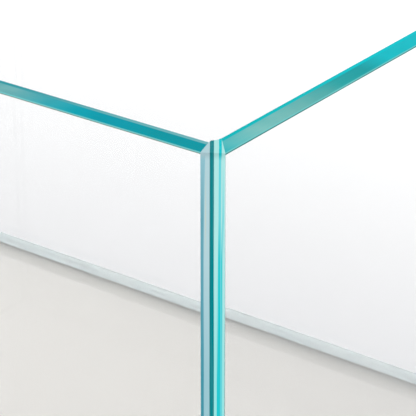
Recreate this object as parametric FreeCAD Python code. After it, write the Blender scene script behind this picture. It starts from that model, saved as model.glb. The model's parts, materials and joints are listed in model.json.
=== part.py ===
import FreeCAD, Part
import os

# Rimless glass aquarium on a two-door cabinet stand. Millimetres, +Z up.
# The origin is on the floor, under the middle of the whole object.
# -Y is the front, +X is the right-hand side as seen from the front.

# Tank
tank_length = 900.0
tank_depth = 450.0
tank_height = 375.0
pane = 10.0
base_pane = 12.0
arris = 0.5                # small ground chamfer along the rim of each pane
bond = 1.0                 # clear silicone under the four walls
bead = 5.0                 # inside silicone fillet along the base
front_end_outer = 8.2      # a front or back pane stops this far from the tank's corner, outside
front_end_gap = 1.5        # and this far from the side pane's inner face, inside
side_end_outer = 4.9       # a side pane stops this far from the corner, outside
side_end_gap = 1.3         # and this far from the front or back pane's inner face, inside
mat_thickness = 5.0
mat_inset = 2.0

# Stand
stand_margin = 0.0         # the stand stands out past the tank by this much at each end
stand_height = 700.0
board = 18.0
top_thickness = 25.0
back_thickness = 8.0
back_inset = 6.0
plinth_height = 60.0
plinth_recess = 40.0
glide_radius = 8.0
glide_height = 4.0
dowel_radius = 4.0
dowel_length = 30.0
dowel_margin = 60.0
shelf_height = 300.0       # underside of the shelves above the floor
shelf_gap = 1.5
shelf_front_gap = 30.0
pin_radius = 2.5
pin_length = 16.0
pin_margin = 50.0
port_radius = 25.0         # free hole for hoses and leads through the back
port_wall = 2.5
port_flange = 5.0
port_lip = 2.0
port_drop = 70.0           # from the underside of the top to the middle of the port

# Doors
door_gap = 3.0
door_thickness = 18.0
hinge_length = 60.0
hinge_margin = 90.0        # from the door's end to the middle of its hinge
knuckle_radius = 4.0
knuckle_gap = 0.3
knuckle_proud = 0.5
hinge_pin_radius = 2.0
pin_clearance = 0.05
pin_head_radius = 3.0
pin_head_height = 1.5
leaf_thickness = 1.2
leaf_depth = 15.0
leaf_screw_radius = 1.2
leaf_screw_head = 2.6
leaf_screw_length = 13.0
leaf_screw_inset = 8.0     # from the leaf's front edge
handle_reach = 30.0
handle_length = 160.0
handle_spacing = 128.0
handle_radius = 5.0
handle_post_radius = 4.0
handle_inset = 50.0        # from the door's free edge
handle_drop = 150.0        # from the door's top edge to the handle's middle
handle_screw_radius = 2.0
handle_screw_clearance = 0.2
handle_screw_bite = 8.0
handle_screw_head_radius = 4.0
handle_screw_head_height = 2.5
strike_length = 24.0
strike_width = 10.0
strike_thickness = 0.8
strike_drop = 1.0          # from the door's top edge
catch_length = 36.0
catch_depth = 14.0
catch_height = 12.0
catch_gap = 0.2
catch_inset = 24.0         # from the door's free edge

# Places that several parts share
half_tank = tank_length / 2
half_stand = half_tank + stand_margin
front_end_inner = pane + front_end_gap
side_end_inner = pane + side_end_gap
front_y = (handle_reach - tank_depth) / 2
back_y = front_y + tank_depth
middle_y = (front_y + back_y) / 2
bottom_top = plinth_height + board
top_under = stand_height - top_thickness
tank_floor = stand_height + mat_thickness
wall_bottom = tank_floor + base_pane + bond
rim = tank_floor + tank_height
side_face = half_stand - board
divider_face = board / 2
back_face = back_y - back_inset - back_thickness
door_low = bottom_top + door_gap
door_high = top_under - door_gap
door_edge = side_face - door_gap
free_edge = door_gap / 2
pivot_x = side_face - door_gap / 2
pivot_y = front_y - knuckle_radius - knuckle_proud
hinge_heights = (door_low + hinge_margin, door_high - hinge_margin)
handle_x = free_edge + handle_inset
handle_z = door_high - handle_drop
bar_y = front_y - handle_reach + handle_radius
port_x = (divider_face + side_face) / 2
port_z = top_under - port_drop
knuckle_length = hinge_length / 3
sides = (("left", -1), ("right", 1))


def point(x, y, z):
    return FreeCAD.Vector(x, y, z)


up = point(0, 0, 1)
backward = point(0, 1, 0)


def block(x0, x1, y0, y1, z0, z1):
    """A box between two corners, given in either order along X."""
    low = min(x0, x1)
    return Part.makeBox(abs(x1 - x0), y1 - y0, z1 - z0, point(low, y0, z0))


def rod(radius, length, x, y, z, direction):
    return Part.makeCylinder(radius, length, point(x, y, z), direction)


def prism(outline, z0, z1):
    corners = [point(x, y, z0) for x, y in outline]
    wire = Part.makePolygon(corners + corners[:1])
    return Part.Face(wire).extrude(point(0, 0, z1 - z0))


def group(shapes):
    return Part.makeCompound(shapes)


def save(shape, node):
    shape.exportStep("parts/" + node + ".step")


def mirror_x(shape):
    return shape.mirror(point(0, 0, 0), point(1, 0, 0))


def mirror_y(shape):
    return shape.mirror(point(0, middle_y, 0), point(0, 1, 0))


# ---- Tank ----

def front_pane():
    """Front wall: its ends are bevelled, and its rim has an arris on both edges."""
    outline = [
        (front_end_outer - half_tank, front_y),
        (half_tank - front_end_outer, front_y),
        (half_tank - front_end_inner, front_y + pane),
        (front_end_inner - half_tank, front_y + pane),
    ]
    return with_arris(prism(outline, wall_bottom, rim), 0)


def right_pane():
    outline = [
        (half_tank, front_y + side_end_outer),
        (half_tank, back_y - side_end_outer),
        (half_tank - pane, back_y - side_end_inner),
        (half_tank - pane, front_y + side_end_inner),
    ]
    return with_arris(prism(outline, wall_bottom, rim), 1)


def with_arris(wall, axis):
    """Chamfer the two long rim edges, which run along X for axis 0 and Y for axis 1."""
    edges = []
    for edge in wall.Edges:
        ends = [vertex.Point for vertex in edge.Vertexes]
        run = ends[1] - ends[0]
        on_rim = min(end.z for end in ends) > rim - arris
        if on_rim and abs(run[1 - axis]) < arris:
            edges.append(edge)
    return wall.makeChamfer(arris, edges)


def corner_bead():
    """Clear bead in the groove between the front pane and the right pane."""
    outline = [
        (half_tank - front_end_outer, front_y),
        (half_tank, front_y + side_end_outer),
        (half_tank - pane, front_y + side_end_inner),
        (half_tank - front_end_inner, front_y + pane),
    ]
    return prism(outline, wall_bottom, rim)


def base_bead(corner_beads):
    """Silicone under the walls, with a fillet all round inside the base."""
    inner_x = half_tank - pane
    inner_front = front_y + pane
    inner_back = back_y - pane
    floor_top = tank_floor + base_pane
    layer = block(-half_tank, half_tank, front_y, back_y, floor_top, wall_bottom)
    ring = layer.cut(block(-inner_x, inner_x, inner_front, inner_back, floor_top, wall_bottom))
    rise = block(-inner_x, inner_x, inner_front, inner_back, floor_top, floor_top + bead)
    wires = []
    for inset, z in ((bead, floor_top), (0, floor_top + bead)):
        corners = [
            point(inset - inner_x, inner_front + inset, z),
            point(inner_x - inset, inner_front + inset, z),
            point(inner_x - inset, inner_back - inset, z),
            point(inset - inner_x, inner_back - inset, z),
        ]
        wires.append(Part.makePolygon(corners + corners[:1]))
    hollow = Part.makeLoft(wires, True, True)
    fillet = rise.cut(hollow)
    whole = ring.fuse(fillet)
    for shape in corner_beads:
        whole = whole.cut(shape)
    return whole.removeSplitter()


def make_tank():
    base = block(-half_tank, half_tank, front_y, back_y, tank_floor, tank_floor + base_pane)
    front = front_pane()
    right = right_pane()
    bead_right = corner_bead()
    beads = {
        "front_right": bead_right,
        "front_left": mirror_x(bead_right),
        "back_right": mirror_y(bead_right),
        "back_left": mirror_y(mirror_x(bead_right)),
    }
    save(base, "tank_base_pane")
    save(front, "tank_front_pane")
    save(mirror_y(front), "tank_back_pane")
    save(right, "tank_right_pane")
    save(mirror_x(right), "tank_left_pane")
    for place, shape in beads.items():
        save(shape, "corner_bead_" + place)
    save(base_bead(beads.values()), "base_bead")
    mat = block(mat_inset - half_tank, half_tank - mat_inset, front_y + mat_inset,
                back_y - mat_inset, stand_height, tank_floor)
    save(mat, "levelling_mat")


# ---- Cabinet ----

def dowels():
    """Wooden dowels across each joint between an upright board and the boards above and below."""
    pegs = []
    for x in (-half_stand + board / 2, 0, half_stand - board / 2):
        for y in (front_y + dowel_margin, middle_y, back_y - dowel_margin):
            for z in (bottom_top, top_under):
                peg = rod(dowel_radius, dowel_length, x, y, z - dowel_length / 2, up)
                pegs.append(peg)
    return group(pegs)


def shelf_pins(side):
    """Four pins that carry one shelf: two in the outer side and two in the divider."""
    pins = []
    for face, outward in ((divider_face, -1), (side_face, 1)):
        start = face + outward * pin_length / 2
        for y in (front_y + shelf_front_gap + pin_margin, back_face - pin_margin):
            z = shelf_height - pin_radius
            pins.append(rod(pin_radius, pin_length, side * start, y, z, point(-side * outward, 0, 0)))
    return group(pins)


def leaf_screws(side, on_door):
    """Countersunk screws through the hinge leaves, flush with the leaf."""
    if on_door:
        face = door_edge + leaf_thickness
        into = -side
    else:
        face = side_face - leaf_thickness
        into = side
    screws = []
    for middle in hinge_heights:
        for offset in (-knuckle_length, knuckle_length):
            place = point(side * face, front_y + leaf_screw_inset, middle + offset)
            along = point(into, 0, 0)
            head = Part.makeCone(leaf_screw_head, leaf_screw_radius, leaf_thickness, place, along)
            shank = Part.makeCylinder(leaf_screw_radius, leaf_screw_length, place, along)
            screws.append(head.fuse(shank).removeSplitter())
    return group(screws)


def hinge_leaves(side, on_door):
    """The leaves of one door's two hinges: outer knuckles on the frame, the middle one on the door."""
    if on_door:
        face = door_edge
        back = door_edge + leaf_thickness
        knuckles = ((-0.5, 0.5),)
    else:
        face = side_face
        back = side_face - leaf_thickness
        knuckles = ((-1.5, -0.5), (0.5, 1.5))
    screws = leaf_screws(side, on_door)
    leaves = []
    for middle in hinge_heights:
        low = middle - hinge_length / 2
        high = middle + hinge_length / 2
        leaf = block(side * face, side * back, front_y, front_y + leaf_depth, low, high)
        for first, last in knuckles:
            z0 = middle + first * knuckle_length + knuckle_gap / 2
            z1 = middle + last * knuckle_length - knuckle_gap / 2
            web = block(side * face, side * back, pivot_y, front_y, z0, z1)
            barrel = rod(knuckle_radius, z1 - z0, side * pivot_x, pivot_y, z0, up)
            leaf = leaf.fuse(web).fuse(barrel)
        bore = rod(hinge_pin_radius + pin_clearance, hinge_length, side * pivot_x, pivot_y, low, up)
        leaf = leaf.cut(bore).cut(screws).removeSplitter()
        leaves.append(leaf)
    return group(leaves)


def hinge_pins(side):
    """One headed pin through the knuckles of each hinge."""
    pins = []
    for middle in hinge_heights:
        low = middle - hinge_length / 2
        pin = rod(hinge_pin_radius, hinge_length, side * pivot_x, pivot_y, low, up)
        for z in (low - pin_head_height, low + hinge_length):
            head = rod(pin_head_radius, pin_head_height, side * pivot_x, pivot_y, z, up)
            pin = pin.fuse(head)
        pins.append(pin.removeSplitter())
    return group(pins)


def grommet(side):
    """Flanged ring that lines a port in the back board."""
    outer = port_radius + port_wall
    length = back_thickness + 2 * port_lip
    start = back_face - port_lip
    body = rod(outer, length, side * port_x, start, port_z, backward)
    for y in (start, back_face + back_thickness):
        body = body.fuse(rod(outer + port_flange, port_lip, side * port_x, y, port_z, backward))
    body = body.cut(rod(port_radius, length, side * port_x, start, port_z, backward))
    return body.removeSplitter()


def make_cabinet():
    pegs = dowels()
    top = block(-half_stand, half_stand, front_y, back_y, top_under, stand_height)
    bottom = block(-half_stand, half_stand, front_y, back_y, plinth_height, bottom_top)
    divider_front = front_y + door_thickness + catch_depth + strike_thickness + catch_gap
    divider = block(-divider_face, divider_face, divider_front, back_face, bottom_top, top_under)
    save(top.cut(pegs), "top_board")
    save(bottom.cut(pegs), "bottom_board")
    pins = {name: shelf_pins(side) for name, side in sides}
    save(divider.cut(pegs).cut(pins["left"]).cut(pins["right"]), "divider_board")
    save(pegs, "carcass_dowels")
    for name, side in sides:
        upright = block(side * side_face, side * half_stand, front_y, back_y, bottom_top, top_under)
        upright = upright.cut(pegs).cut(pins[name]).cut(leaf_screws(side, False))
        save(upright, name + "_side_board")
        hole = rod(port_radius + port_wall, back_thickness, side * port_x, back_face, port_z, backward)
        back = block(0, side * side_face, back_face, back_face + back_thickness, bottom_top, top_under)
        save(back.cut(hole), name + "_back_board")
        save(grommet(side), name + "_port_grommet")
        shelf = block(side * (divider_face + shelf_gap), side * (side_face - shelf_gap),
                      front_y + shelf_front_gap, back_face - shelf_gap,
                      shelf_height, shelf_height + board)
        save(shelf, name + "_shelf")
        save(pins[name], name + "_shelf_pins")


def make_plinth():
    outer = half_stand - plinth_recess
    front = front_y + plinth_recess
    back = back_y - plinth_recess
    save(block(-outer, outer, front, front + board, glide_height, plinth_height), "front_plinth_rail")
    save(block(-outer, outer, back - board, back, glide_height, plinth_height), "back_plinth_rail")
    for name, x in (("left", -outer), ("centre", -board / 2), ("right", outer - board)):
        rail = block(x, x + board, front + board, back - board, glide_height, plinth_height)
        save(rail, name + "_plinth_rail")
    glides = []
    for x in (-outer + board, 0, outer - board):
        for y in (front + board / 2, back - board / 2):
            glides.append(rod(glide_radius, glide_height, x, y, 0, up))
    save(group(glides), "floor_glides")


# ---- Doors ----

def handle_screws(side):
    screws = []
    inside = front_y + door_thickness
    forward = point(0, -1, 0)
    for offset in (-handle_spacing / 2, handle_spacing / 2):
        z = handle_z + offset
        length = door_thickness + handle_screw_bite
        shank = rod(handle_screw_radius, length, side * handle_x, inside, z, forward)
        head = rod(handle_screw_head_radius, handle_screw_head_height, side * handle_x,
                   inside + handle_screw_head_height, z, forward)
        screws.append(shank.fuse(head).removeSplitter())
    return group(screws)


def handle(side, screws):
    """Round upright bar on two posts, tapped for the screws from inside the door."""
    low = handle_z - handle_length / 2
    bar = rod(handle_radius, handle_length, side * handle_x, bar_y, low, up)
    for offset in (-handle_spacing / 2, handle_spacing / 2):
        post = rod(handle_post_radius, front_y - bar_y, side * handle_x, bar_y, handle_z + offset, backward)
        bar = bar.fuse(post)
    return bar.cut(screws).removeSplitter()


def door_panel(side):
    panel = block(side * free_edge, side * door_edge, front_y, front_y + door_thickness, door_low, door_high)
    for offset in (-handle_spacing / 2, handle_spacing / 2):
        hole = rod(handle_screw_radius + handle_screw_clearance, door_thickness, side * handle_x,
                   front_y, handle_z + offset, backward)
        panel = panel.cut(hole)
    return panel.cut(leaf_screws(side, True))


def strike(side):
    start = free_edge + catch_inset + (catch_length - strike_length) / 2
    inside = front_y + door_thickness
    return block(side * start, side * (start + strike_length), inside, inside + strike_thickness,
                 door_high - strike_drop - strike_width, door_high - strike_drop)


def catch(side):
    """Magnetic catch under the top board, just behind the strike."""
    start = free_edge + catch_inset
    near = front_y + door_thickness + strike_thickness + catch_gap
    return block(side * start, side * (start + catch_length), near, near + catch_depth,
                 top_under - catch_height, top_under)


def make_doors():
    for name, side in sides:
        screws = handle_screws(side)
        save(door_panel(side), name + "_door_panel")
        save(screws, name + "_handle_screws")
        save(handle(side, screws), name + "_handle")
        save(strike(side), name + "_strike_plate")
        save(catch(side), name + "_magnet_catch")
        save(hinge_leaves(side, True), name + "_door_leaves")
        save(hinge_leaves(side, False), name + "_frame_leaves")
        save(hinge_pins(side), name + "_hinge_pins")
        save(leaf_screws(side, True), name + "_door_leaf_screws")
        save(leaf_screws(side, False), name + "_frame_leaf_screws")


os.makedirs("parts", exist_ok=True)
make_tank()
make_cabinet()
make_plinth()
make_doors()
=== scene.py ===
import bpy
import bmesh
import json
import math
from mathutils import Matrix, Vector


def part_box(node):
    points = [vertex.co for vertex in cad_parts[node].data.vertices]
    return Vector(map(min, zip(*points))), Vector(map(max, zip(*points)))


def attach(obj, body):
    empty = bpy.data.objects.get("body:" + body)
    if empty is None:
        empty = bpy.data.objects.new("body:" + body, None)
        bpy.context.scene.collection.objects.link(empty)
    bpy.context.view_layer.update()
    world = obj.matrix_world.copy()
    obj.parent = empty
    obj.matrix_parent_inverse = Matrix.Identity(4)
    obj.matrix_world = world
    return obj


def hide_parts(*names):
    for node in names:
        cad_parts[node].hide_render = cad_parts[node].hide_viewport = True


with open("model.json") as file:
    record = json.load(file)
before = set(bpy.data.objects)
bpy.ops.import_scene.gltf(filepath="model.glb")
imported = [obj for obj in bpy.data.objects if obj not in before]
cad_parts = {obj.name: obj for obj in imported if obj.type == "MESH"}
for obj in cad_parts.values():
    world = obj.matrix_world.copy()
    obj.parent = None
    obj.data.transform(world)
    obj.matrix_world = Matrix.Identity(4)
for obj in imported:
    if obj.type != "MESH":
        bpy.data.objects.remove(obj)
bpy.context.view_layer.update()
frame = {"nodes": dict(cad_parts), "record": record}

print("frame loaded:", len(frame["nodes"]), "nodes")

mm = 0.001
tankBody = "stand"

# places read from the frame
paneLow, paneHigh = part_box("tank_front_pane")
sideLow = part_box("tank_right_pane")[0]
baseLow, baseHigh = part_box("tank_base_pane")
beadLow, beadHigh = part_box("corner_bead_front_right")
rimZ = paneHigh.z
wallZ = paneLow.z
outerX = baseHigh.x
frontY = baseLow.y
backY = baseHigh.y
middleY = (frontY + backY) / 2
glassThick = paneHigh.y - paneLow.y
frontSetback = outerX - paneHigh.x        # where the front pane's outer face stops
beadAcross = beadHigh.x - beadLow.x
beadDeep = beadHigh.y - beadLow.y
sideSetback = sideLow.y - frontY          # where the side pane's outer face starts


lightLevel = 1.68        # how bright a white surface stands under the studio's light

# the tank's corners as signs of x and y, in order round the base
cornerSigns = ((-1, -1), (1, -1), (1, 1), (-1, 1))


def srgb(red, green, blue):
    def linear(value):
        share = value / 255
        if share <= 0.04045:
            return share / 12.92
        return ((share + 0.055) / 1.055) ** 2.4
    return (linear(red), linear(green), linear(blue), 1)


def seen(red, green, blue, share=1):
    # the base colour that shows as this one, under that share of the light
    level = lightLevel * share
    return tuple(min(part / level, 1) for part in srgb(red, green, blue)[:3]) + (1,)


def newMaterial(name):
    mat = bpy.data.materials.new(name)
    mat.use_nodes = True
    return mat, mat.node_tree, mat.node_tree.nodes["Principled BSDF"]


def addNode(tree, kind, **settings):
    node = tree.nodes.new(kind)
    for key, value in settings.items():
        setattr(node, key, value)
    return node


def feed(tree, socket, value):        # a link for an output, a plain value for anything else
    if hasattr(value, "is_output"):
        tree.links.new(value, socket)
    else:
        socket.default_value = value


def objectPoint(tree, scale=(1, 1, 1)):
    coords = addNode(tree, "ShaderNodeTexCoord")
    mapping = addNode(tree, "ShaderNodeMapping")
    mapping.inputs["Scale"].default_value = scale
    tree.links.new(coords.outputs["Object"], mapping.inputs["Vector"])
    return mapping.outputs["Vector"]


def noise(tree, vector, scale, detail=4, rough=0.5, distort=0):
    node = addNode(tree, "ShaderNodeTexNoise")
    node.inputs["Scale"].default_value = scale
    node.inputs["Detail"].default_value = detail
    node.inputs["Roughness"].default_value = rough
    node.inputs["Distortion"].default_value = distort
    tree.links.new(vector, node.inputs["Vector"])
    return node.outputs["Fac"]


def ramp(tree, factor, stops):
    node = addNode(tree, "ShaderNodeValToRGB")
    elements = node.color_ramp.elements
    while len(elements) < len(stops):
        elements.new(0.5)
    for index, (place, colour) in enumerate(stops):
        elements[index].position = place
        elements[index].color = colour
    tree.links.new(factor, node.inputs["Fac"])
    return node.outputs["Color"]


def mixColour(tree, factor, first, second):
    node = addNode(tree, "ShaderNodeMix", data_type="RGBA")
    feed(tree, node.inputs[0], factor)
    feed(tree, node.inputs[6], first)        # sockets 6 and 7 take the two colours
    feed(tree, node.inputs[7], second)
    return node.outputs[2]


def sums(tree, operation, first, second):
    node = addNode(tree, "ShaderNodeMath", operation=operation)
    feed(tree, node.inputs[0], first)
    feed(tree, node.inputs[1], second)
    return node.outputs[0]


def span(tree, value, low, high, toLow=0, toHigh=1):
    node = addNode(tree, "ShaderNodeMapRange")
    tree.links.new(value, node.inputs["Value"])
    node.inputs["From Min"].default_value = low
    node.inputs["From Max"].default_value = high
    node.inputs["To Min"].default_value = toLow
    node.inputs["To Max"].default_value = toHigh
    return node.outputs["Result"]


def addBump(tree, shader, height, strength, distance):
    bump = addNode(tree, "ShaderNodeBump")
    bump.inputs["Strength"].default_value = strength
    bump.inputs["Distance"].default_value = distance
    tree.links.new(height, bump.inputs["Height"])
    tree.links.new(bump.outputs["Normal"], shader.inputs["Normal"])


def axes(tree):
    coords = addNode(tree, "ShaderNodeTexCoord")
    split = addNode(tree, "ShaderNodeSeparateXYZ")
    tree.links.new(coords.outputs["Object"], split.inputs["Vector"])
    return split.outputs["X"], split.outputs["Y"], split.outputs["Z"]


# camera: a long lens close to the front right corner of the rim
camSettings = {
    "azimuth": 36.28,
    "elevation": 25.79,
    "distance": 0.7525,       # from the lens to the corner, along the view
    "cornerSide": 0.0037,     # how far the corner lies right of the middle of the view
    "cornerUp": 0.0188,       # and how far above it
    "lens": 173.0,
    "sensor": 36.0,
    "clip": (0.01, 200),
}


def makeCamera(settings):
    turn = math.radians(settings["azimuth"])
    tilt = math.radians(settings["elevation"])
    back = Vector((math.sin(turn) * math.cos(tilt), -math.cos(turn) * math.cos(tilt), math.sin(tilt)))
    right = Vector((math.cos(turn), math.sin(turn), 0))
    up = back.cross(right)
    corner = Vector((outerX, frontY, rimZ))
    data = bpy.data.cameras.new("camera")
    data.sensor_width = settings["sensor"]
    data.lens = settings["lens"]
    data.clip_start, data.clip_end = settings["clip"]
    camera = bpy.data.objects.new("camera", data)
    camera.location = (corner + back * settings["distance"]
                       - right * settings["cornerSide"] - up * settings["cornerUp"])
    camera.rotation_mode = "QUATERNION"
    camera.rotation_quaternion = (-back).to_track_quat("-Z", "Y")
    bpy.context.scene.collection.objects.link(camera)
    bpy.context.scene.camera = camera


makeCamera(camSettings)
print("camera placed")


# finishes

glassSettings = {"ior": 1.45, "smear": 0.012, "smearScale": 9}


def paneGlass():        # clear low-iron glass, with the faintest wiping smears in its gloss
    mat, tree, shader = newMaterial("clearPaneGlass")
    shader.inputs["Base Color"].default_value = srgb(254.6, 255, 255)
    shader.inputs["Transmission Weight"].default_value = 1
    shader.inputs["IOR"].default_value = glassSettings["ior"]
    smears = noise(tree, objectPoint(tree, (1, 1, 3)), glassSettings["smearScale"], 3)
    feed(tree, shader.inputs["Roughness"], span(tree, smears, 0.45, 0.8, 0, glassSettings["smear"]))
    return mat


rimSettings = {
    "skin": 0.1 * mm,
    "arris": 0.5 * mm,
    "streakGain": 0.7,
    "streakFine": 1150,       # streaks across the polish, per metre
    "streakLong": 12,         # and along it
    "roughness": 0.16,
    "gloss": 0.003,
    "near": 0.15,             # beyond this far from the corner the tint wanders freely
    "fade": 0.24,             # and from here on it does so wholly
    "wander": 5,
    "patches": 60,
    "arrisFine": 3000,        # streaks across the ground chamfer, per metre
    "arrisLong": 30,          # and along it
    "arrisRough": 0.3,
    "bump": 0.1,
    "bumpHeight": 0.1 * mm,
    "steps": 24,
}


def rimGlass(name, along, look):
    # polished edge: its tint drifts away from the corner, and a band runs beside the inner arris
    mat, tree, shader = newMaterial(name)
    x, y = axes(tree)[:2]
    length, across = (x, y) if along == "x" else (y, x)
    away = sums(tree, "ABSOLUTE", sums(tree, "SUBTRACT", length, look["corner"]), 0)
    drift = ramp(tree, span(tree, away, 0, look["reach"]), look["field"])
    slow = noise(tree, objectPoint(tree), rimSettings["wander"], 3, 0.6)
    loose = ramp(tree, slow, [(0.36, seen(14, 152, 164)), (0.45, seen(126, 190, 188)),
                              (0.54, seen(12, 178, 190)), (0.64, seen(60, 164, 166))])
    drift = mixColour(tree, span(tree, away, rimSettings["near"], rimSettings["fade"]), drift, loose)
    stretch = (rimSettings["streakLong"], rimSettings["streakFine"], 1)
    if along == "y":
        stretch = (rimSettings["streakFine"], rimSettings["streakLong"], 1)
    streaks = noise(tree, objectPoint(tree, stretch), 1, 5, 0.6)
    patches = noise(tree, objectPoint(tree), rimSettings["patches"], 3)
    streaked = mixColour(tree, 0.5, drift, seen(*look["streak"]))
    tint = mixColour(tree, span(tree, streaks, 0.3, 0.75, 0, rimSettings["streakGain"]), drift, streaked)
    tint = mixColour(tree, span(tree, patches, 0.35, 0.7, 0, 0.3), tint, seen(*look["patch"]))
    band = ramp(tree, span(tree, away, 0, look["reach"]), look["band"])
    inner, step = look["bandEdge"]
    tint = mixColour(tree, span(tree, across, inner, inner + step), tint, band)
    feed(tree, shader.inputs["Base Color"], tint)
    rough = rimSettings["roughness"]
    feed(tree, shader.inputs["Roughness"], span(tree, streaks, 0.3, 0.7, rough * 0.7, rough * 1.5))
    shader.inputs["Specular IOR Level"].default_value = rimSettings["gloss"]
    addBump(tree, shader, streaks, rimSettings["bump"], rimSettings["bumpHeight"])
    return mat


def arrisGlass(name, upper, lower, along):        # the narrow ground chamfer: pale above, darker below
    mat, tree, shader = newMaterial(name)
    z = axes(tree)[2]
    fine = rimSettings["arrisFine"]
    lengthways = rimSettings["arrisLong"]
    stretch = (lengthways, fine, fine) if along == "x" else (fine, lengthways, fine)
    streaks = noise(tree, objectPoint(tree, stretch), 1, 4, 0.6)
    arris = rimSettings["arris"]
    height = sums(tree, "ADD", z, span(tree, streaks, 0.3, 0.7, -0.1 * arris, 0.1 * arris))
    share = span(tree, height, rimZ - arris, rimZ)
    tint = ramp(tree, share, [(0.42, seen(*lower)), (0.58, seen(*upper))])
    feed(tree, shader.inputs["Base Color"], tint)
    shader.inputs["Roughness"].default_value = rimSettings["arrisRough"]
    shader.inputs["Specular IOR Level"].default_value = rimSettings["gloss"]
    addBump(tree, shader, streaks, rimSettings["bump"], rimSettings["bumpHeight"])
    return mat


def makePiece(name, corners, faces, finishes, faceFinish=None):
    # a piece is built from a list of corners, with one finish number for each face
    mesh = bpy.data.meshes.new(name)
    mesh.from_pydata(corners, [], faces)
    for finish in finishes:
        mesh.materials.append(finish)
    if faceFinish:
        for polygon, number in zip(mesh.polygons, faceFinish):
            polygon.material_index = number
    mesh.update()
    piece = bpy.data.objects.new(name, mesh)
    bpy.context.scene.collection.objects.link(piece)
    return piece


def joinRings(start, other, count):        # the faces between two rings of corners
    faces = []
    for index in range(count):
        following = (index + 1) % count
        faces.append((start + index, start + following, other + following, other + index))
    return faces


def basePoint(out, z, signX, signY):        # a place this far in from the base pane's outer faces
    y = frontY + out if signY < 0 else backY - out
    return (signX * (outerX - out), y, z)


def fixNormals(piece):
    shape = bmesh.new()
    shape.from_mesh(piece.data)
    bmesh.ops.recalc_face_normals(shape, faces=shape.faces)
    shape.to_mesh(piece.data)
    shape.free()


softEdgeSettings = {"board": 0.6 * mm, "steel": 0.25 * mm, "segments": 2, "angle": 30}


def softenEdges(piece, width):
    bevel = piece.modifiers.new("softEdges", "BEVEL")
    bevel.width = width
    bevel.segments = softEdgeSettings["segments"]
    bevel.limit_method = "ANGLE"
    bevel.angle_limit = math.radians(softEdgeSettings["angle"])


def flip(point, signX, signY):        # a place given for the front right corner, moved to another corner
    x, y, z = point
    if signY < 0:
        y = 2 * middleY - y
    return (x * signX, y, z)


cornerCap = {
    "sideReach": 15.6 * mm,       # how far back the cap laps the side pane
    "sideInset": 9.6 * mm,
    "backReach": 13.2 * mm,
    "backInset": 10.05 * mm,
    "frontInset": 11.6 * mm,
    "frontReach": 11.5 * mm,
    "frontLap": 0.4 * mm,         # how much the cap stops short of the bead beside the front pane
    "frontShare": 0.9,            # and how far across that pane's thickness it reaches
    "height": 0.5 * mm,
    "lift": 0.12 * mm,
    "groove": 0.25 * mm,
    # places along the bead's face, as shares of its width, and whether each is sunk
    "grooveAcross": ((0.0, 0), (0.37, 0), (0.40, 1), (0.53, 1), (0.56, 0), (1.0, 0)),
}


def rimEdge(name, side, finishes):
    # a thin polished skin over the rim of one pane: outer arris, top flat, inner arris
    skin = rimSettings["skin"]
    arris = rimSettings["arris"]
    profile = [
        (-skin, -arris), (arris - skin / 2, skin), (glassThick - arris + skin / 2, skin),
        (glassThick + skin, -arris), (glassThick, -arris), (glassThick - arris, 0), (arris, 0), (0, -arris),
    ]
    bands = [0, 1, 2, 2, 2, 1, 0, 0]        # the finish of each face round the profile
    steps = rimSettings["steps"]
    corners = []
    for step in range(steps + 1):
        share = step / steps
        for deep, rise in profile:
            inward = min(max(deep / glassThick, 0), 1)
            if side in ("front", "back"):
                setback = frontSetback + (beadAcross - frontSetback) * inward
                x = -outerX + setback + share * 2 * (outerX - setback)
                y = frontY + deep if side == "front" else backY - deep
            else:
                slope = (cornerCap["sideReach"] - sideSetback) / cornerCap["sideInset"]
                setback = sideSetback + slope * inward * glassThick
                x = outerX - deep if side == "right" else deep - outerX
                y = frontY + setback + share * (backY - frontY - 2 * setback)
            corners.append((x, y, rimZ + rise))
    count = len(profile)
    faces = []
    faceFinish = []
    for step in range(steps):
        faces += joinRings(step * count, (step + 1) * count, count)
        faceFinish += bands
    faces.append(tuple(range(count)))
    faces.append(tuple(steps * count + index for index in reversed(range(count))))
    faceFinish += [1, 1]
    piece = makePiece(name, corners, faces, finishes, faceFinish)
    fixNormals(piece)
    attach(piece, tankBody)


bandSettings = {"long": 2.7 * mm, "short": 2.6 * mm, "soft": 0.3 * mm}        # widths beside the inner arris


def rimLook(side):        # tints of one polished edge, by distance from the nearest corner in front
    soft = bandSettings["soft"]
    if side in ("front", "back"):
        fromFace = glassThick - bandSettings["long"]
        edge = frontY + fromFace if side == "front" else backY - fromFace
        return {
            "corner": outerX, "reach": 0.12, "streak": (0, 172, 192), "patch": (0, 140, 150),
            "field": [(0.08, seen(10, 150, 160)), (0.28, seen(8, 150, 160)), (0.47, seen(2, 155, 174)),
                      (0.60, seen(4, 168, 184)), (0.72, seen(66, 176, 186)), (0.88, seen(132, 188, 186))],
            "band": [(0.10, seen(112, 181, 187)), (0.50, seen(104, 176, 182)), (0.72, seen(78, 164, 172)),
                     (0.92, seen(52, 156, 166))],
            "bandEdge": (edge, soft if side == "front" else -soft),
        }
    edge = outerX - glassThick + bandSettings["short"]
    return {
        "corner": frontY, "reach": 0.15, "streak": (64, 194, 198), "patch": (24, 166, 171),
        "field": [(0.04, seen(66, 186, 192)), (0.22, seen(146, 202, 195)), (0.40, seen(124, 184, 178)),
                  (0.60, seen(44, 159, 158)), (0.72, seen(22, 152, 156)), (0.84, seen(0, 192, 203))],
        "band": [(0.10, seen(14, 184, 190)), (0.45, seen(10, 190, 196)), (0.80, seen(4, 198, 208))],
        "bandEdge": (edge, -soft) if side == "right" else (-edge, soft),
    }


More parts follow.
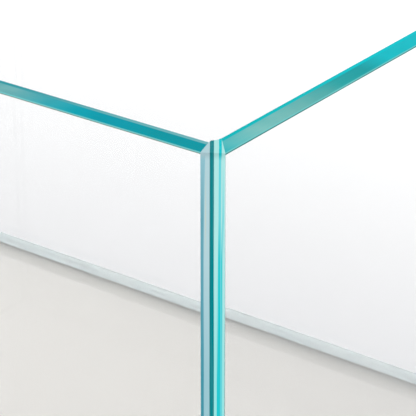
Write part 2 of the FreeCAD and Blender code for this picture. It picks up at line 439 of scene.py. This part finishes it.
def makeRims():
    outerLong = arrisGlass("outerArrisLong", (120, 206, 208), (128, 150, 140), "x")
    outerShort = arrisGlass("outerArrisShort", (120, 208, 206), (40, 120, 118), "y")
    innerLong = arrisGlass("innerArrisLong", (96, 174, 182), (78, 160, 170), "x")
    innerShort = arrisGlass("innerArrisShort", (120, 192, 202), (160, 200, 212), "y")
    for side in ("front", "back"):
        top = rimGlass("polished_" + side + "_edge", "x", rimLook(side))
        rimEdge(side + "_rim_edge", side, [outerLong, top, innerLong])
    for side in ("right", "left"):
        top = rimGlass("polished_" + side + "_edge", "y", rimLook(side))
        rimEdge(side + "_rim_edge", side, [outerShort, top, innerShort])


makeRims()
print("polished rims made")


# corner joints: the bonded bead between two bevelled pane ends, striped with painted refraction of what it
# bends into view and a painted highlight
# tints of the painted refraction stripes on the bead; the cream stripe is a painted highlight
jointTints = {
    "pale": (178, 211, 218), "palest": (154, 199, 209), "creamHighlight": (194, 210, 202),
    "blue": (142, 192, 204), "deepBlue": (102, 166, 182), "darkBlue": (68, 148, 165),
    "dark": (2, 133, 140), "mint": (175, 232, 229), "deepMint": (152, 228, 226),
    "softCyan": (104, 213, 221), "cyan": (4, 200, 208),
}

jointSettings = {
    "turn": 36.28,            # the stripes stand upright, and run across the bead in this direction
    "low": -6.6 * mm,
    "high": 2.9 * mm,
    "soft": 0.009,            # half the width of a stripe's edge, as a share of the way across
    "upright": 0.81,          # an upright face gets this share of the light
    "gloss": 0.006,
    "roughness": 0.18,
    "wander": 55,             # how often the stripes waver, per metre, and how far
    "waver": 0.07 * mm,
    "fine": (1600, 1600, 18),
    "bump": 0.08,
    "bumpHeight": 0.1 * mm,
    # for each depth under the rim: where each stripe starts across the bead, and its tint
    "layers": [
        (0.0006, [(0, "pale"), (0.376, "dark"), (0.545, "mint"), (0.742, "cyan"), (0.86, "mint")]),
        (0.003, [(0, "blue"), (0.185, "pale"), (0.376, "dark"), (0.545, "mint"),
                 (0.742, "softCyan"), (0.835, "mint")]),
        (0.028, [(0, "deepBlue"), (0.14, "pale"), (0.185, "creamHighlight"), (0.235, "pale"), (0.373, "dark"),
                 (0.545, "mint"), (0.735, "softCyan"), (0.83, "mint"), (0.89, "softCyan"), (0.945, "mint")]),
        (0.046, [(0, "deepBlue"), (0.13, "pale"), (0.37, "dark"), (0.545, "mint"),
                 (0.72, "cyan"), (0.81, "softCyan"), (0.855, "cyan"), (0.9, "mint")]),
        (0.100, [(0, "darkBlue"), (0.125, "palest"), (0.363, "dark"), (0.548, "deepMint"),
                 (0.67, "cyan"), (0.82, "softCyan"), (0.9, "deepMint")]),
    ],
}


def stripeStops(stripes, share):
    soft = jointSettings["soft"]
    tints = [seen(*jointTints[name], share) for start, name in stripes]
    stops = [(0.0, tints[0])]
    for index in range(1, len(stripes)):
        start = stripes[index][0]
        stops += [(start - soft, tints[index - 1]), (start + soft, tints[index])]
    return stops


def jointGlass(name, signX, signY):
    mat, tree, shader = newMaterial(name)
    turn = math.radians(jointSettings["turn"])
    x, y, z = axes(tree)
    fromCorner = sums(tree, "SUBTRACT", sums(tree, "MULTIPLY", x, signX), outerX)
    if signY > 0:
        fromFront = sums(tree, "SUBTRACT", y, frontY)
    else:
        fromFront = sums(tree, "SUBTRACT", backY, y)
    across = sums(tree, "ADD", sums(tree, "MULTIPLY", fromCorner, math.cos(turn)),
                  sums(tree, "MULTIPLY", fromFront, math.sin(turn)))
    wander = noise(tree, objectPoint(tree, (1, 1, 0.35)), jointSettings["wander"], 2)
    waver = jointSettings["waver"]
    across = sums(tree, "ADD", across, span(tree, wander, 0.3, 0.7, -waver, waver))
    place = span(tree, across, jointSettings["low"], jointSettings["high"])
    tint = None
    depth = 0
    # painted refraction: each layer paints the stripes the bead bends into view, the cream one a painted
    # highlight
    for nextDepth, stripes in jointSettings["layers"]:
        # the first layer is the cap's top
        share = 1 if tint is None else jointSettings["upright"]
        layer = ramp(tree, place, stripeStops(stripes, share))
        if tint is None:
            tint = layer
        else:
            tint = mixColour(tree, span(tree, z, rimZ - depth, rimZ - nextDepth), tint, layer)
        depth = nextDepth
    fine = noise(tree, objectPoint(tree, jointSettings["fine"]), 1, 3, 0.6)
    tint = mixColour(tree, span(tree, fine, 0.45, 0.75, 0, 0.09), tint, seen(206, 224, 224))
    feed(tree, shader.inputs["Base Color"], tint)
    shader.inputs["Roughness"].default_value = jointSettings["roughness"]
    shader.inputs["Specular IOR Level"].default_value = jointSettings["gloss"]
    addBump(tree, shader, fine, jointSettings["bump"], jointSettings["bumpHeight"])
    return mat


def cornerJoint(place, signX, signY):
    # the upright bead, with a shallow groove down its face, under a cap that laps the side pane
    lowZ = wallZ
    highZ = rimZ - cornerCap["height"]
    capZ = rimZ + cornerCap["lift"]
    groove = cornerCap["groove"]
    faceStart = Vector((outerX - frontSetback, frontY, 0))
    faceEnd = Vector((outerX, frontY + sideSetback, 0))
    run = faceEnd - faceStart
    inward = Vector((-run.y, run.x, 0)).normalized()
    face = []
    for share, sunk in cornerCap["grooveAcross"]:
        face.append(faceStart.lerp(faceEnd, share) + inward * groove * sunk)
    inner = [Vector((outerX - glassThick, frontY + beadDeep, 0)),
             Vector((outerX - beadAcross, frontY + glassThick, 0))]
    outline = face + inner
    frontReach = glassThick * cornerCap["frontShare"]
    cap = face + [
        Vector((outerX - cornerCap["sideInset"], frontY + cornerCap["sideReach"], 0)),
        Vector((outerX - cornerCap["backInset"], frontY + cornerCap["backReach"], 0)),
        Vector((outerX - cornerCap["frontInset"], frontY + cornerCap["frontReach"], 0)),
        Vector((outerX - beadAcross + cornerCap["frontLap"], frontY + frontReach, 0)),
    ]
    corners = []
    faces = []
    for ring, z0, z1 in ((outline, lowZ, highZ), (cap, highZ, capZ)):
        start = len(corners)
        count = len(ring)
        corners += [flip((p.x, p.y, z0), signX, signY) for p in ring]
        corners += [flip((p.x, p.y, z1), signX, signY) for p in ring]
        faces += joinRings(start, start + count, count)
        faces.append(tuple(start + index for index in reversed(range(count))))
        faces.append(tuple(start + count + index for index in range(count)))
    piece = makePiece(place + "_corner_joint", corners, faces, [jointGlass("joint_" + place, signX, signY)])
    fixNormals(piece)
    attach(piece, tankBody)
    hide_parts("corner_bead_" + place)


for place, signX, signY in (("front_right", 1, 1), ("front_left", -1, 1),
                            ("back_right", 1, -1), ("back_left", -1, -1)):
    cornerJoint(place, signX, signY)
print("corner joints made")


baseSettings = {
    "skin": 0.12 * mm,
    "inset": 0.7 * mm,
    "air": 0.3 * mm,          # a film of air between the glass and the mat
    "gap": 0.05 * mm,
    "arris": 0.4 * mm,
    "drift": 14,              # slow changes of tint along the edge, per metre
    "streakFine": 2400,       # streaks up the polish, per metre
    "streakLong": 12,         # and along it
    "roughness": 0.18,
    "insideDrift": 12,
    "insideRough": 0.4,
    "bump": 0.1,
    "bumpHeight": 0.1 * mm,
}


def baseEdgeGlass():        # polished edge of the base pane, seen all round
    mat, tree, shader = newMaterial("polishedBaseEdge")
    z = axes(tree)[2]
    layers = ramp(tree, span(tree, z, baseLow.z, baseHigh.z),
                  [(0.0, seen(70, 140, 142)), (0.12, seen(38, 160, 166)), (0.55, seen(20, 150, 160)),
                   (0.85, seen(90, 196, 200)), (1.0, seen(150, 220, 220))])
    drift = noise(tree, objectPoint(tree, (1, 1, 8)), baseSettings["drift"], 4)
    lengthways = baseSettings["streakLong"]
    stretch = (lengthways, lengthways, baseSettings["streakFine"])
    streaks = noise(tree, objectPoint(tree, stretch), 1, 4, 0.6)
    tint = mixColour(tree, span(tree, drift, 0.35, 0.7, 0, 0.6), layers, seen(72, 184, 190))
    tint = mixColour(tree, span(tree, streaks, 0.35, 0.75, 0, 0.35), tint, seen(120, 205, 208))
    feed(tree, shader.inputs["Base Color"], tint)
    shader.inputs["Roughness"].default_value = baseSettings["roughness"]
    addBump(tree, shader, streaks, baseSettings["bump"], baseSettings["bumpHeight"])
    return mat


def paleEdgeGlass():        # the same edge from inside, washed out by the glass in front of it
    mat, tree, shader = newMaterial("baseEdgeInside")
    drift = noise(tree, objectPoint(tree), baseSettings["insideDrift"], 3)
    tint = mixColour(tree, span(tree, drift, 0.3, 0.7), srgb(244, 249, 249), srgb(238, 247, 247))
    feed(tree, shader.inputs["Base Color"], tint)
    shader.inputs["Roughness"].default_value = baseSettings["insideRough"]
    return mat


def baseGlass():        # the base pane itself, resting on the mat
    side = baseSettings["inset"] + baseSettings["gap"]
    arris = baseSettings["arris"]
    low = baseLow.z + baseSettings["air"]
    corners = []
    for out, z in ((side + arris, low), (side, low + arris), (side, baseHigh.z - arris),
                   (side + arris, baseHigh.z)):
        corners += [basePoint(out, z, *signs) for signs in cornerSigns]
    faces = [(3, 2, 1, 0), (12, 13, 14, 15)]
    for level in (0, 4, 8):
        faces += joinRings(level, level + 4, 4)
    piece = makePiece("base_glass", corners, faces, [paneGlass()])
    fixNormals(piece)
    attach(piece, tankBody)
    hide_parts("tank_base_pane")


sealSettings = {
    "gap": 0.04 * mm,         # clearance that keeps each clear surface apart from the next
    "fillet": 5.0 * mm,
    "curve": 5,               # steps round the hollow of the fillet
    "ripple": 0.12 * mm,
    "waves": 31,              # how often the ripple turns along one side
    "waveShift": 1.7,         # so that no two sides ripple alike
    "clear": 0.6,
    "ior": 1.41,
    "gloss": 0.2,
    "cloud": 45,
    "roughness": (0.8, 0.9),
    "bump": 0.15,
    "bumpHeight": 0.4 * mm,
    "steps": 60,
}


def clearSealant():        # cured clear sealant, with the drag marks of the finishing tool
    mat, tree, shader = newMaterial("clearSealant")
    cloud = noise(tree, objectPoint(tree), sealSettings["cloud"], 3)
    tint = mixColour(tree, span(tree, cloud, 0.3, 0.7), srgb(240, 248, 249), srgb(246, 251, 251))
    feed(tree, shader.inputs["Base Color"], tint)
    shader.inputs["Transmission Weight"].default_value = sealSettings["clear"]
    shader.inputs["IOR"].default_value = sealSettings["ior"]
    shader.inputs["Specular IOR Level"].default_value = sealSettings["gloss"]
    feed(tree, shader.inputs["Roughness"], span(tree, cloud, 0.3, 0.7, *sealSettings["roughness"]))
    addBump(tree, shader, cloud, sealSettings["bump"], sealSettings["bumpHeight"])
    return mat


def sealProfile():
    # how far in from the outer face, and how high over the base: bond layer, then hollow fillet
    gap = sealSettings["gap"]
    fillet = sealSettings["fillet"]
    bond = wallZ - baseHigh.z
    wall = glassThick + gap
    profile = [(2 * gap, gap), (2 * gap, bond - gap), (wall, bond - gap)]
    centre = (wall + fillet, fillet)
    for step in range(sealSettings["curve"] + 1):
        turn = math.pi + math.pi / 2 * step / sealSettings["curve"]
        deep = centre[0] + (fillet - gap) * math.cos(turn)
        rise = centre[1] + (fillet - gap) * math.sin(turn)
        profile.append((deep, rise))
    profile.append((centre[0], gap / 2))
    return profile


def baseSealant():        # one ring all round the base, mitred at its corners
    profile = sealProfile()
    count = len(profile)
    steps = sealSettings["steps"]
    corners = []
    for index, signs in enumerate(cornerSigns):
        nextSigns = cornerSigns[(index + 1) % 4]
        for step in range(steps):
            share = step / steps
            turn = share * sealSettings["waves"] + index * sealSettings["waveShift"]
            wave = math.sin(share * math.pi) * math.sin(turn) * sealSettings["ripple"]
            for number, (deep, rise) in enumerate(profile):
                onFillet = 3 <= number < count - 1
                out = deep + (wave if onFillet else 0)
                here = Vector(basePoint(out, baseHigh.z + rise, *signs))
                there = Vector(basePoint(out, baseHigh.z + rise, *nextSigns))
                corners.append(tuple(here.lerp(there, share)))
    rings = 4 * steps
    faces = []
    for ring in range(rings):
        faces += joinRings(ring * count, (ring + 1) % rings * count, count)
    piece = makePiece("base_sealant", corners, faces, [clearSealant()])
    fixNormals(piece)
    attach(piece, tankBody)
    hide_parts("base_bead")


def baseEdge():
    skin = baseSettings["skin"]
    inset = baseSettings["inset"]
    low = baseLow.z
    high = baseHigh.z
    profile = [(0, low), (-skin, low + inset), (-skin, high - inset), (0, high), (inset, high), (inset, low)]
    corners = []
    for out, z in profile:
        corners += [basePoint(out, z, *signs) for signs in cornerSigns]
    faces = []
    count = len(profile)
    for index in range(count):
        faces += joinRings(index * 4, (index + 1) % count * 4, 4)
    innerWall = profile.index((inset, high)) * 4
    faceFinish = [1 if innerWall <= number < innerWall + 4 else 0 for number in range(len(faces))]
    piece = makePiece("base_edge", corners, faces, [baseEdgeGlass(), paleEdgeGlass()], faceFinish)
    fixNormals(piece)
    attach(piece, tankBody)


baseGlass()
baseSealant()
baseEdge()
print("base pane made")


lacquerSettings = {"cloud": 2.5, "peel": 900, "bump": 0.06, "bumpHeight": 0.3 * mm}


def lacquer():        # warm white matt lacquer, with a fine rolled texture
    mat, tree, shader = newMaterial("warmWhiteLacquer")
    cloud = noise(tree, objectPoint(tree), lacquerSettings["cloud"], 3)
    peel = noise(tree, objectPoint(tree), lacquerSettings["peel"], 2)
    tint = mixColour(tree, span(tree, cloud, 0.35, 0.7), srgb(214, 211, 206), srgb(211, 208, 202))
    feed(tree, shader.inputs["Base Color"], tint)
    feed(tree, shader.inputs["Roughness"], span(tree, cloud, 0.3, 0.7, 0.38, 0.48))
    addBump(tree, shader, peel, lacquerSettings["bump"], lacquerSettings["bumpHeight"])
    return mat


oakSettings = {
    "stretch": (34, 34, 0.7),             # bands of figure, drawn out along the grain
    "poreStretch": (520, 520, 11),
    "shelfStretch": (0.7, 34, 34),        # the shelves' grain runs from side to side
    "shelfPoreStretch": (11, 520, 520),
    "dowelStretch": (60, 60, 5),
    "dowelPoreStretch": (500, 500, 12),
    "figure": 0.7,
    "poreDepth": 0.45,
    "bump": 0.18,
    "bumpHeight": 0.3 * mm,
}


def oak(name, stretch, poreStretch):        # pale oiled oak veneer with open pores along the grain
    mat, tree, shader = newMaterial(name)
    bands = noise(tree, objectPoint(tree, stretch), 1, 6, 0.55, oakSettings["figure"])
    fine = noise(tree, objectPoint(tree, tuple(4 * part for part in stretch)), 1, 5, 0.6)
    pores = noise(tree, objectPoint(tree, poreStretch), 1, 3, 0.7)
    tint = ramp(tree, bands, [(0.32, srgb(160, 130, 97)), (0.44, srgb(182, 153, 118)),
                              (0.55, srgb(194, 168, 134)), (0.68, srgb(169, 140, 105))])
    tint = mixColour(tree, span(tree, fine, 0.35, 0.7, 0, 0.4), tint, srgb(197, 172, 140))
    dark = span(tree, pores, 0.58, 0.72)
    tint = mixColour(tree, sums(tree, "MULTIPLY", dark, oakSettings["poreDepth"]), tint, srgb(128, 98, 68))
    feed(tree, shader.inputs["Base Color"], tint)
    feed(tree, shader.inputs["Roughness"], span(tree, dark, 0, 1, 0.42, 0.62))
    relief = sums(tree, "SUBTRACT", fine, dark)
    addBump(tree, shader, relief, oakSettings["bump"], oakSettings["bumpHeight"])
    return mat


foamSettings = {"cells": 900, "roughness": 0.85, "bump": 0.3, "bumpHeight": 0.3 * mm}


def foam():        # closed-cell foam mat
    mat, tree, shader = newMaterial("foamMat")
    cells = addNode(tree, "ShaderNodeTexVoronoi")
    cells.inputs["Scale"].default_value = foamSettings["cells"]
    tree.links.new(objectPoint(tree), cells.inputs["Vector"])
    tint = mixColour(tree, cells.outputs["Distance"], srgb(243, 238, 231), srgb(250, 246, 240))
    feed(tree, shader.inputs["Base Color"], tint)
    shader.inputs["Roughness"].default_value = foamSettings["roughness"]
    addBump(tree, shader, cells.outputs["Distance"], foamSettings["bump"], foamSettings["bumpHeight"])
    return mat


mouldSettings = {"grain": 1400, "shade": 25, "roughness": 0.5, "bump": 0.15, "bumpHeight": 0.2 * mm}


def moulded(name, colour, darker):        # moulded plastic with a fine spark texture
    mat, tree, shader = newMaterial(name)
    grain = noise(tree, objectPoint(tree), mouldSettings["grain"], 2)
    shade = noise(tree, objectPoint(tree), mouldSettings["shade"], 3)
    feed(tree, shader.inputs["Base Color"], mixColour(tree, span(tree, shade, 0.3, 0.7), colour, darker))
    shader.inputs["Roughness"].default_value = mouldSettings["roughness"]
    addBump(tree, shader, grain, mouldSettings["bump"], mouldSettings["bumpHeight"])
    return mat


brushSettings = {
    "satin": (2600, 2600, 20),        # lines drawn out along the length
    "plated": (900, 900, 900),
    "satinRough": 0.3,
    "platedRough": 0.24,
    "bump": 0.12,
    "bumpHeight": 0.1 * mm,
}


def brushed(name, stretch, colour, darker, rough):        # brushed or plated steel
    mat, tree, shader = newMaterial(name)
    lines = noise(tree, objectPoint(tree, stretch), 1, 4, 0.65)
    feed(tree, shader.inputs["Base Color"], mixColour(tree, span(tree, lines, 0.3, 0.7), colour, darker))
    shader.inputs["Metallic"].default_value = 1
    feed(tree, shader.inputs["Roughness"], span(tree, lines, 0.3, 0.7, rough * 0.8, rough * 1.3))
    addBump(tree, shader, lines, brushSettings["bump"], brushSettings["bumpHeight"])
    return mat


# every node of the frame gets its finish
glassFinish = paneGlass()
shelfOak = oak("shelfOak", oakSettings["shelfStretch"], oakSettings["shelfPoreStretch"])
slotFinish = {
    "mat_foam": foam(),
    "plastic": moulded("greyMoulding", srgb(176, 174, 171), srgb(168, 166, 163)),
    "catch_plastic": moulded("whiteMoulding", srgb(206, 206, 204), srgb(200, 200, 198)),
    "laminate": lacquer(),
    "oak_veneer": oak("doorOak", oakSettings["stretch"], oakSettings["poreStretch"]),
    "dowel_wood": oak("beechDowel", oakSettings["dowelStretch"], oakSettings["dowelPoreStretch"]),
    "satin_steel": brushed("satinSteel", brushSettings["satin"], srgb(196, 196, 194),
                           srgb(170, 170, 169), brushSettings["satinRough"]),
    "zinc_steel": brushed("platedSteel", brushSettings["plated"], srgb(206, 209, 212),
                          srgb(188, 191, 195), brushSettings["platedRough"]),
}


def dressFrame():
    for row in frame["record"]["subparts"]:
        node = frame["nodes"][row["node"]]
        finish = slotFinish.get(row["material_slot"], glassFinish)
        if row["node"].endswith("_shelf"):
            finish = shelfOak
        node.data.materials.clear()
        node.data.materials.append(finish)
        if row["material_slot"] in ("laminate", "oak_veneer"):
            softenEdges(node, softEdgeSettings["board"])
        elif row["material_slot"] == "satin_steel":
            softenEdges(node, softEdgeSettings["steel"])


dressFrame()
print("finishes applied")


# floor and light
# the floor carries painted shade: darker in a pool round the stand, drawn out along x as the stand is, and
# pale further off
floorSettings = {
    "radius": 60,
    "ring": 96,
    "near": srgb(187, 187, 189),
    "far": srgb(226, 226, 226),
    "reach": (1.35, 2.6),         # from where to where the painted shade round the stand fades and the floor turns paler
    "stretch": (0.35, 1, 1),
    "roughness": 0.7,
}
worldSettings = {"colour": (1.0, 1.0, 1.0, 1), "strength": 1.5}
lightAim = Vector((0, 0, 0.7))
lightSettings = [
    {"name": "softKey", "place": (-2.4, -3.0, 3.6), "size": 3.0, "power": 36},
    {"name": "softFill", "place": (3.4, -1.6, 2.6), "size": 2.4, "power": 15},
    {"name": "softBack", "place": (0.6, 3.8, 3.2), "size": 3.0, "power": 15},
]


def makeFloor(settings):
    radius = settings["radius"]
    ring = settings["ring"]
    corners = [(0, 0, 0)]
    for index in range(ring):
        turn = 2 * math.pi * index / ring
        corners.append((radius * math.cos(turn), radius * math.sin(turn), 0))
    faces = [(0, 1 + index, 1 + (index + 1) % ring) for index in range(ring)]
    mat, tree, shader = newMaterial("paleFloorWithPaintedShade")
    # painted shade: the floor's tint runs from the darker near colour round the stand to the pale far one
    length = addNode(tree, "ShaderNodeVectorMath", operation="LENGTH")
    tree.links.new(objectPoint(tree, settings["stretch"]), length.inputs[0])
    tint = mixColour(tree, span(tree, length.outputs["Value"], *settings["reach"]),
                     settings["near"], settings["far"])
    feed(tree, shader.inputs["Base Color"], tint)
    shader.inputs["Roughness"].default_value = settings["roughness"]
    floor = makePiece("floor", corners, faces, [mat])


def makeLights():
    world = bpy.data.worlds.new("paleStudio")
    world.use_nodes = True
    background = world.node_tree.nodes["Background"]
    background.inputs["Color"].default_value = worldSettings["colour"]
    background.inputs["Strength"].default_value = worldSettings["strength"]
    bpy.context.scene.world = world
    for settings in lightSettings:
        data = bpy.data.lights.new(settings["name"], "AREA")
        data.size = settings["size"]
        data.energy = settings["power"]
        light = bpy.data.objects.new(settings["name"], data)
        light.location = settings["place"]
        aim = lightAim - light.location
        light.rotation_mode = "QUATERNION"
        light.rotation_quaternion = aim.to_track_quat("-Z", "Y")
        light.visible_camera = False
        bpy.context.scene.collection.objects.link(light)


makeFloor(floorSettings)
makeLights()
bpy.context.scene.view_settings.view_transform = "Standard"
clearBounces = 32        # enough for light to pass through every pane in turn
bpy.context.scene.cycles.max_bounces = clearBounces
bpy.context.scene.cycles.transmission_bounces = clearBounces
print("floor and lights made")
